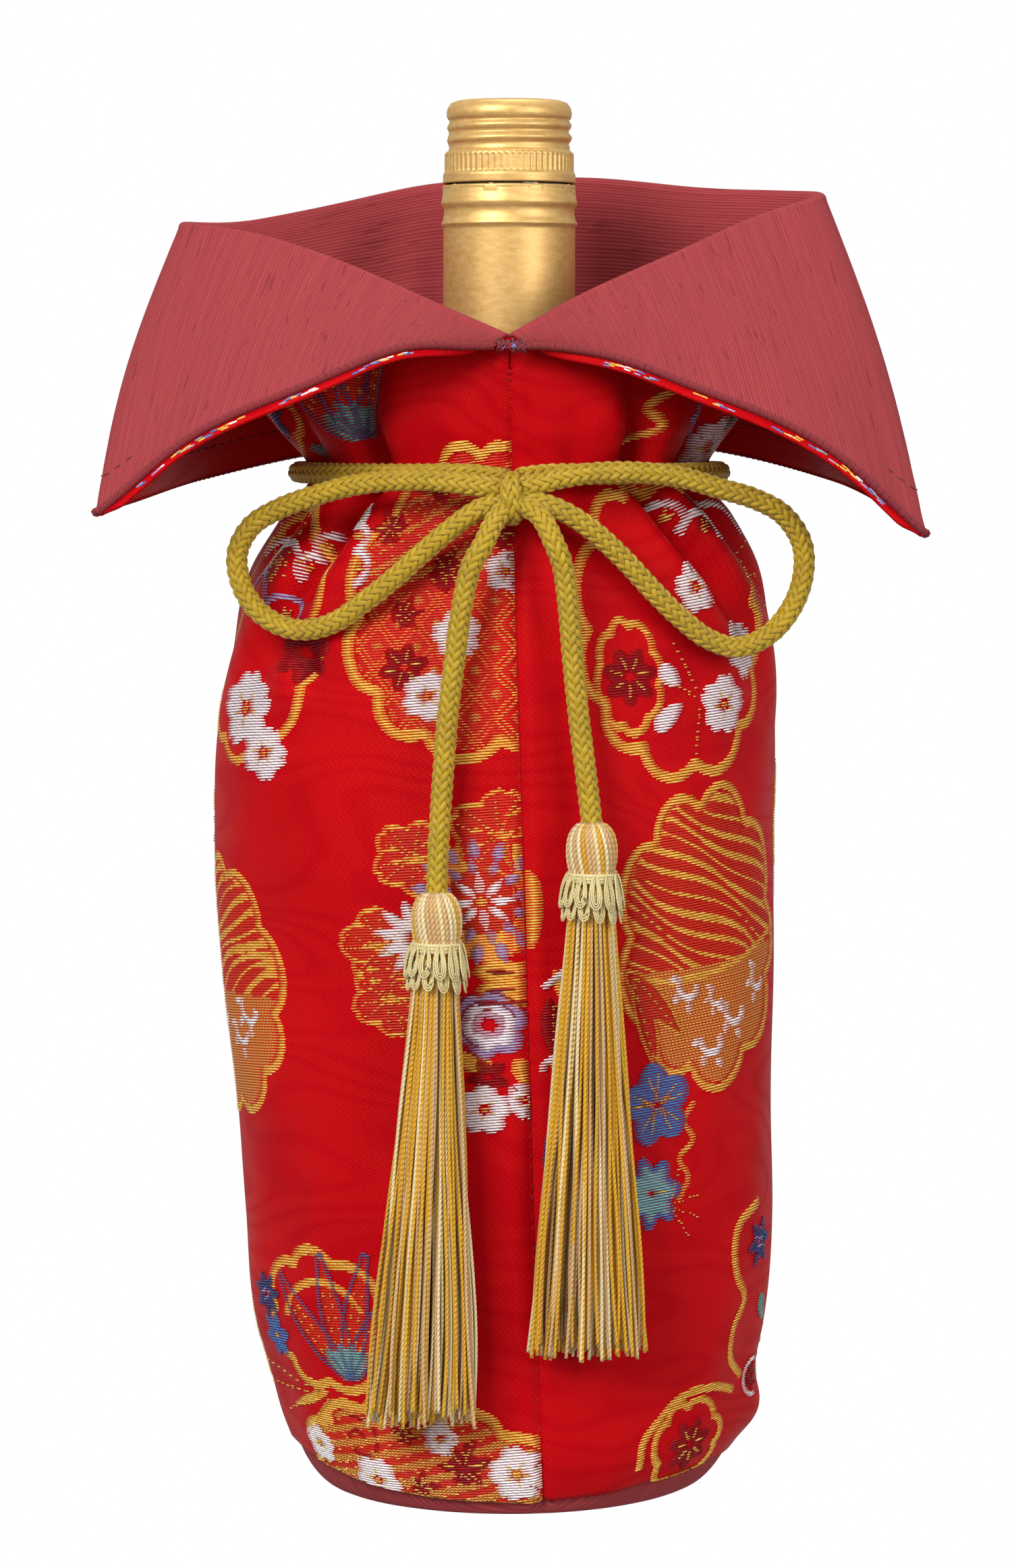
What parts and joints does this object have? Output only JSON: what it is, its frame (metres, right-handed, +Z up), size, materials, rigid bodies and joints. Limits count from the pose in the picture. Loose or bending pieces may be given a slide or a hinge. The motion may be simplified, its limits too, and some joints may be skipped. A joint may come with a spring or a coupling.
{
  "type": "wine gift bag",
  "caption": "Brocade gift bag round a screw-capped bottle, its collar folded out, tied at the neck with a braided cord in a bow with tassels.",
  "frame": {"origin": "centre of the base, on the surface that the bag stands on", "axes": "+Z up along the bottle, -Y towards the slit, the bow and the tassels, +X to the right of a person who faces the bow"},
  "size_m": [0.173, 0.1111, 0.3017],
  "materials": {
    "brocade": "satin-ground silk brocade with raised gold and coloured motifs",
    "lining": "matt ribbed cotton with slubs",
    "board": "stiff board",
    "thread": "sewing thread",
    "cord": "round braid, silky",
    "yarn": "twisted silky yarn",
    "gimp": "pale gold looped gimp",
    "bottle_glass": "dark glass, glossy",
    "wine": "dark liquid",
    "cap_metal": "satin gold lacquer",
    "cap_seal": "soft seal"
  },
  "bodies": {
    "bag": {"brocade_left": "brocade", "brocade_right": "brocade", "lining": "lining", "lining_floor": "lining", "base_cover": "lining", "base_board": "board", "front_seam": "thread", "back_seam": "thread", "front_tack": "thread", "collar_stitching": "thread", "collar_facing_left": "lining", "collar_facing_right": "lining", "collar_brocade_left": "brocade", "collar_brocade_right": "brocade", "neck_cord": "cord", "bow_knot": "cord", "bow_loop_left": "cord", "bow_loop_right": "cord", "bottle": "bottle_glass", "wine": "wine", "cap_skirt": "cap_metal"},
    "cap_carrier": {"cap_liner": "cap_seal"},
    "cap": {"cap_shell": "cap_metal"},
    "tail_left": {"tail_cord_left": "cord"},
    "tail_right": {"tail_cord_right": "cord"},
    "tassel_left": {"cord_end_left": "cord", "tassel_head_left": "yarn", "tassel_tie_left": "gimp", "tassel_loops_left": "gimp", "tassel_fringe_left": "yarn"},
    "tassel_right": {"cord_end_right": "cord", "tassel_head_right": "yarn", "tassel_tie_right": "gimp", "tassel_loops_right": "gimp", "tassel_fringe_right": "yarn"}
  },
  "joints": [
    {"name": "cap_lift", "type": "slide", "parent": "bag", "child": "cap_carrier", "axis": [0, 0, 1], "range_m": [0, 0.0048]},
    {"name": "cap_turn", "type": "hinge", "parent": "cap_carrier", "child": "cap", "pos_m": [0, 0, 0.29], "axis": [0, 0, 1], "range_deg": [0, 540]},
    {"name": "tail_left_swing", "type": "hinge", "parent": "bag", "child": "tail_left", "pos_m": [-0.0055, -0.0494, 0.207], "axis": [-1, 0, 0], "range_deg": [0, 60]},
    {"name": "tail_right_swing", "type": "hinge", "parent": "bag", "child": "tail_right", "pos_m": [0.0095, -0.0494, 0.207], "axis": [-1, 0, 0], "range_deg": [0, 60]},
    {"name": "tassel_left_sway", "type": "hinge", "parent": "tail_left", "child": "tassel_left", "pos_m": [-0.0152, -0.0495, 0.1335], "axis": [0, 1, 0], "range_deg": [-2, 15]},
    {"name": "tassel_right_sway", "type": "hinge", "parent": "tail_right", "child": "tassel_right", "pos_m": [0.0172, -0.0495, 0.1481], "axis": [0, -1, 0], "range_deg": [-2, 15]}
  ],
  "couplings": [
    {"joint": "cap_lift", "follows": "cap_turn", "m_per_rad": 0.000505}
  ]
}
